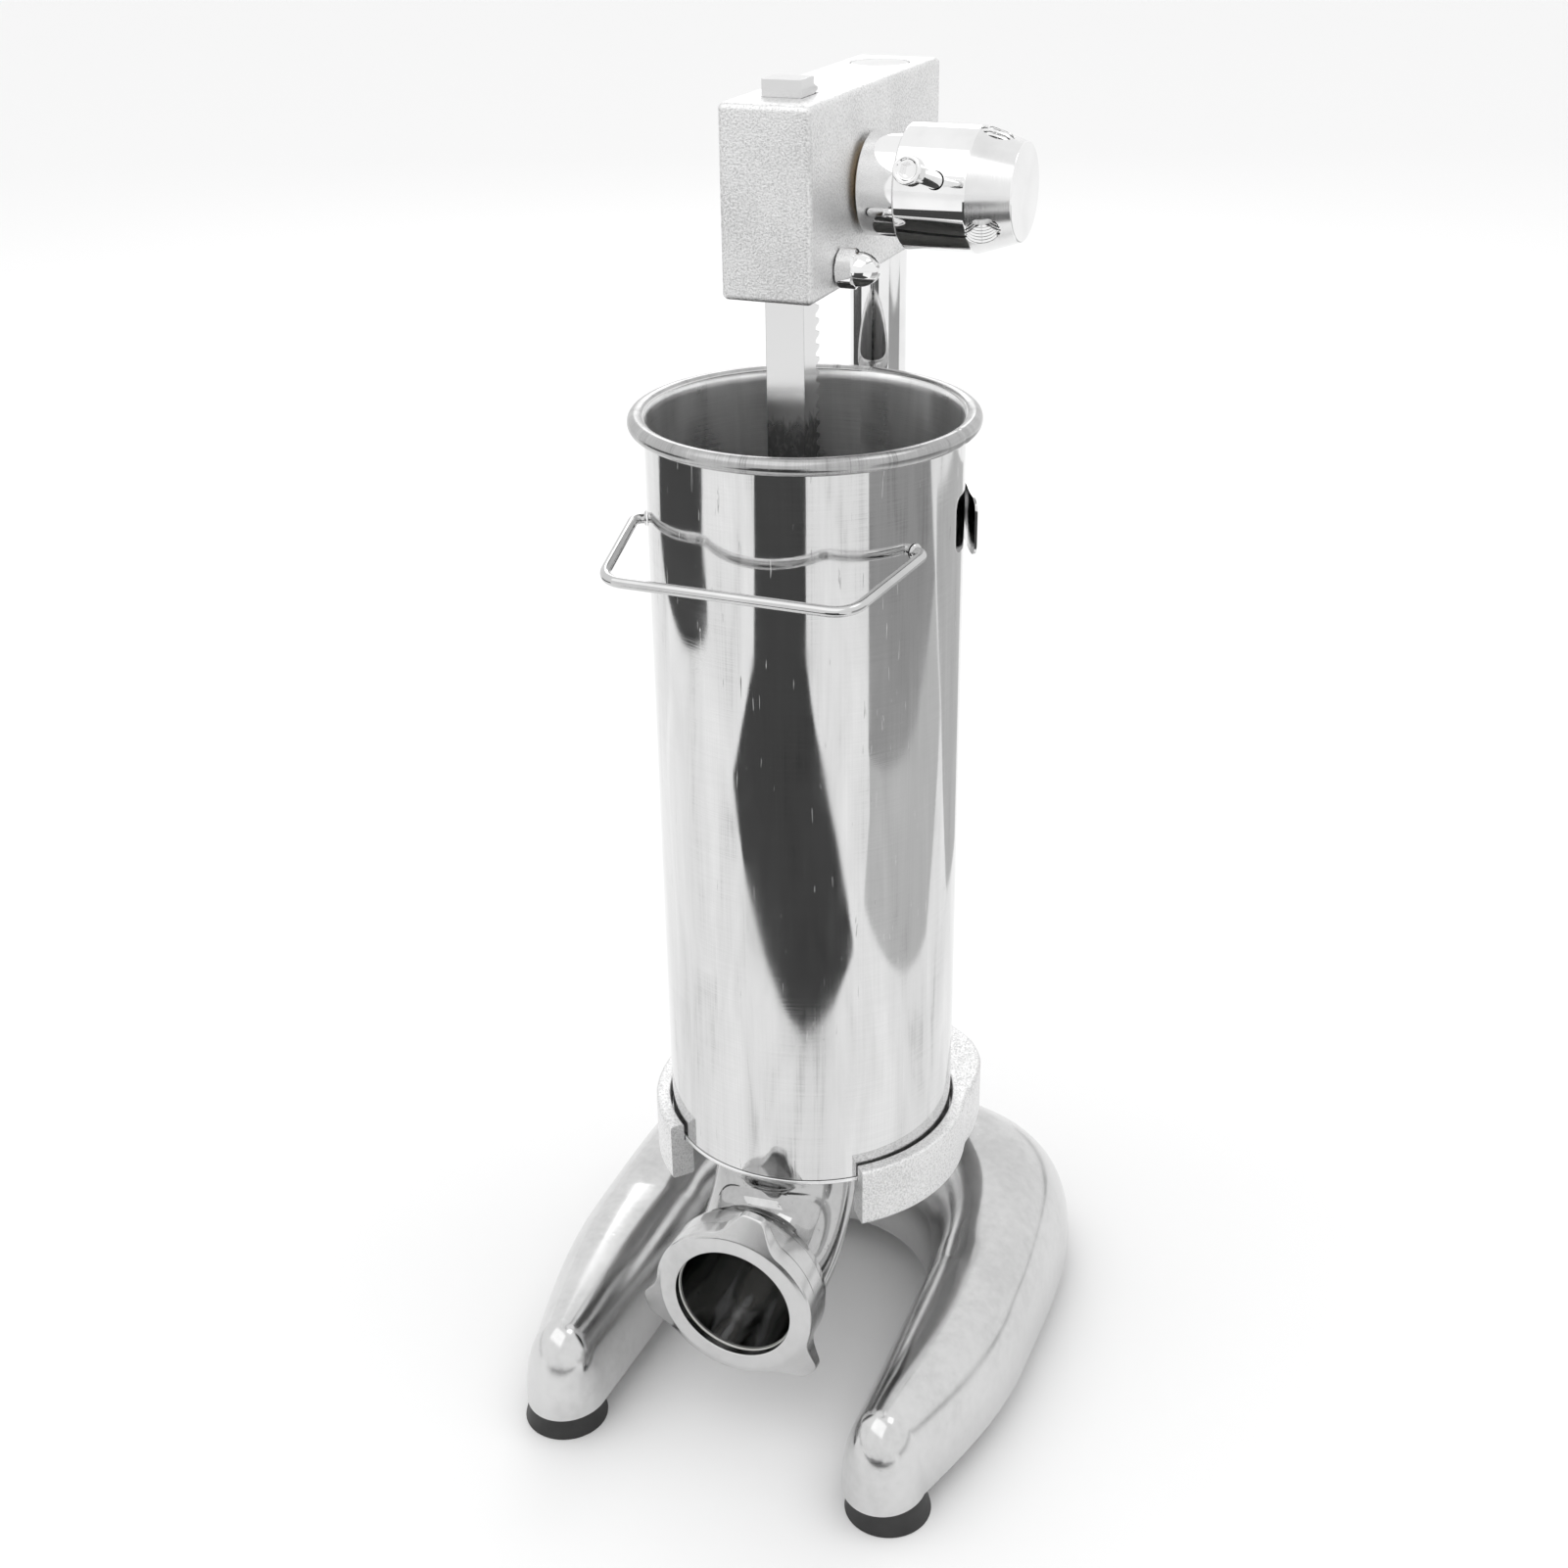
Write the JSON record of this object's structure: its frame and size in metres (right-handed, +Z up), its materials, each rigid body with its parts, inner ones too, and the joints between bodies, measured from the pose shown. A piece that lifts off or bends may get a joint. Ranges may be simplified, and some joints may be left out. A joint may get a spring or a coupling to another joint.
{
  "type": "churro machine",
  "caption": "Upright hand press: a crank hub turns a pinion that drives a toothed rack and piston down a steel barrel with a forward-facing outlet, on a cast horseshoe base.",
  "frame": {"origin": "on the floor, straight below the barrel's axis, which is the middle of the base", "axes": "+Z up, -Y to the front where the outlet faces, +X to the side of the crank hub"},
  "size_m": [0.2098, 0.242, 0.541],
  "materials": {
    "polished_casting": "polished cast aluminium",
    "sand_casting": "fine sand-cast, matt",
    "barrel_steel": "fine vertical polish",
    "bright_steel": "bright turned and polished",
    "fastener_steel": "plain bright zinc",
    "bronze": "plain bearing bronze",
    "black_rubber": "matt black",
    "white_plastic": "white food-grade plastic"
  },
  "bodies": {
    "frame": {"acorn_nut": "bright_steel", "band_collar": "sand_casting", "barrel": "barrel_steel", "barrel_bottom": "barrel_steel", "base_casting": "polished_casting", "block_cover": "fastener_steel", "bush_left": "bronze", "bush_right": "bronze", "column": "bright_steel", "column_nut": "fastener_steel", "column_washer": "fastener_steel", "cover_screw_1": "fastener_steel", "cover_screw_2": "fastener_steel", "cover_screw_3": "fastener_steel", "cover_screw_4": "fastener_steel", "foot_front_left": "black_rubber", "foot_front_right": "black_rubber", "foot_rear_left": "black_rubber", "foot_rear_right": "black_rubber", "foot_screw_front_left": "fastener_steel", "foot_screw_front_right": "fastener_steel", "foot_screw_rear_left": "fastener_steel", "foot_screw_rear_right": "fastener_steel", "gear_block": "sand_casting", "gib_pad": "bronze", "gib_screw": "fastener_steel", "outlet_elbow": "polished_casting", "ring_bracket": "sand_casting", "set_screw_block": "fastener_steel", "set_screw_collar": "fastener_steel", "set_screw_ring": "fastener_steel", "steady_band": "bright_steel", "wire_handle": "bright_steel"},
    "rack": {"rack_bar": "bright_steel", "piston_disc": "white_plastic", "piston_seal": "black_rubber", "piston_washer": "fastener_steel", "piston_screw": "fastener_steel"},
    "crank": {"crank_hub": "bright_steel", "pinion_shaft": "fastener_steel", "hub_screw": "bright_steel", "shaft_ring": "fastener_steel"},
    "nozzle_insert": {"nozzle_ring": "white_plastic"},
    "nozzle_grip": {"nozzle_nut": "polished_casting"}
  },
  "joints": [
    {"name": "crank_turn", "type": "hinge", "parent": "frame", "child": "crank", "pos_m": [0, 0.02075, 0.5012], "axis": [-1, 0, 0], "range_deg": [0, 686]},
    {"name": "rack_slide", "type": "slide", "parent": "frame", "child": "rack", "axis": [0, 0, 1], "range_m": [0, 0.3055]},
    {"name": "nozzle_travel", "type": "slide", "parent": "frame", "child": "nozzle_insert", "axis": [0, -1, 0], "range_m": [0, 0.0121]},
    {"name": "nozzle_unscrew", "type": "hinge", "parent": "nozzle_insert", "child": "nozzle_grip", "pos_m": [0, -0.0799, 0.0702], "axis": [0, -1, 0], "range_deg": [0, 1440]}
  ],
  "couplings": [
    {"joint": "rack_slide", "follows": "crank_turn", "m_per_rad": 0.0255},
    {"joint": "nozzle_travel", "follows": "nozzle_unscrew", "m_per_rad": 0.00047746}
  ]
}
